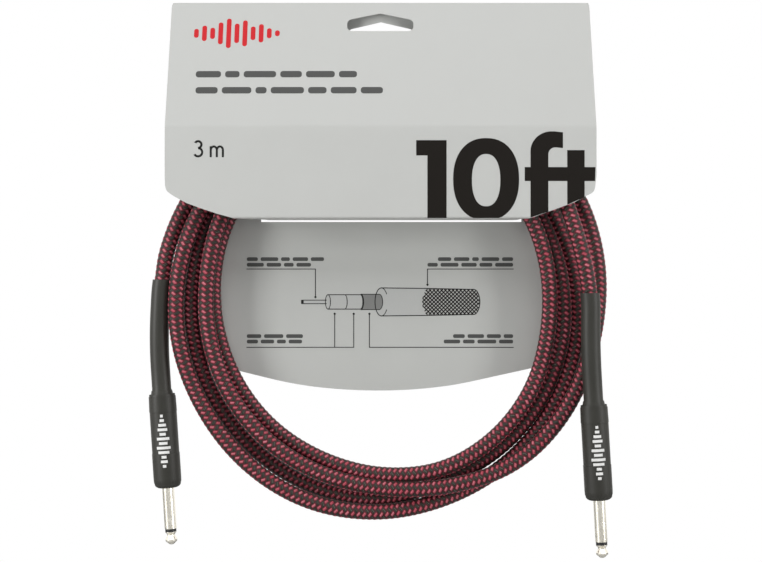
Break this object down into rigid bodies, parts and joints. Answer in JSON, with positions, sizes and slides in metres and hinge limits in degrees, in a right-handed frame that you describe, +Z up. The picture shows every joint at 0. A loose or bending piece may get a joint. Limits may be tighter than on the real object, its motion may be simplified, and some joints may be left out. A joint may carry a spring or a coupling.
{
  "type": "instrument cable",
  "caption": "Braided instrument cable with straight 6.35 mm plugs, wound in a flat coil that hangs in a folded card with a hang slot.",
  "frame": {"origin": "peak of the hang slot in the back panel of the card, where the hook carries the cable", "axes": "+Z up as it hangs, the coil lies in the XZ plane, -Y is the card's front, +X to the right seen from the front"},
  "size_m": [0.2433, 0.0383, 0.293],
  "materials": {
    "card": "coated card, light grey, slight gloss",
    "braid": "tight tweed braid, red tracer yarns over black and grey ones",
    "boot_black": "matte black shrink sleeve",
    "nickel": "polished nickel plate",
    "black_insulator": "moulded insulator",
    "white_insulator": "moulded insulator",
    "tinned_brass": "tinned brass strip",
    "shell_metal": "turned metal shell",
    "clear_liner": "thin plastic liner",
    "solder": "solder",
    "copper": "bare copper"
  },
  "bodies": {
    "cable_and_back_panel": {"header_back_panel": "card", "cable_coil": "braid", "cable_lead_a": "braid", "cable_lead_b": "braid", "tip_rod_a": "nickel", "tip_insulator_a": "black_insulator", "core_insulator_a": "white_insulator", "shaft_sleeve_a": "nickel", "rear_washer_a": "white_insulator", "tip_lug_a": "tinned_brass", "ground_lug_a": "tinned_brass", "barrel_shell_a": "shell_metal", "barrel_liner_a": "clear_liner", "heat_shrink_boot_a": "boot_black", "solder_tip_a": "solder", "solder_ground_a": "solder", "conductor_end_a": "copper", "core_insulation_end_a": "white_insulator", "shield_tail_a": "copper", "tip_rod_b": "nickel", "tip_insulator_b": "black_insulator", "core_insulator_b": "white_insulator", "shaft_sleeve_b": "nickel", "rear_washer_b": "white_insulator", "tip_lug_b": "tinned_brass", "ground_lug_b": "tinned_brass", "barrel_shell_b": "shell_metal", "barrel_liner_b": "clear_liner", "heat_shrink_boot_b": "boot_black", "solder_tip_b": "solder", "solder_ground_b": "solder", "conductor_end_b": "copper", "core_insulation_end_b": "white_insulator", "shield_tail_b": "copper"},
    "header_flap": {"header_front_panel": "card"}
  },
  "joints": [
    {"name": "header_flap_hinge", "type": "hinge", "parent": "cable_and_back_panel", "child": "header_flap", "pos_m": [0, 0.0003, 0.0099], "axis": [-1, 0, 0], "range_deg": [0, 110]}
  ]
}
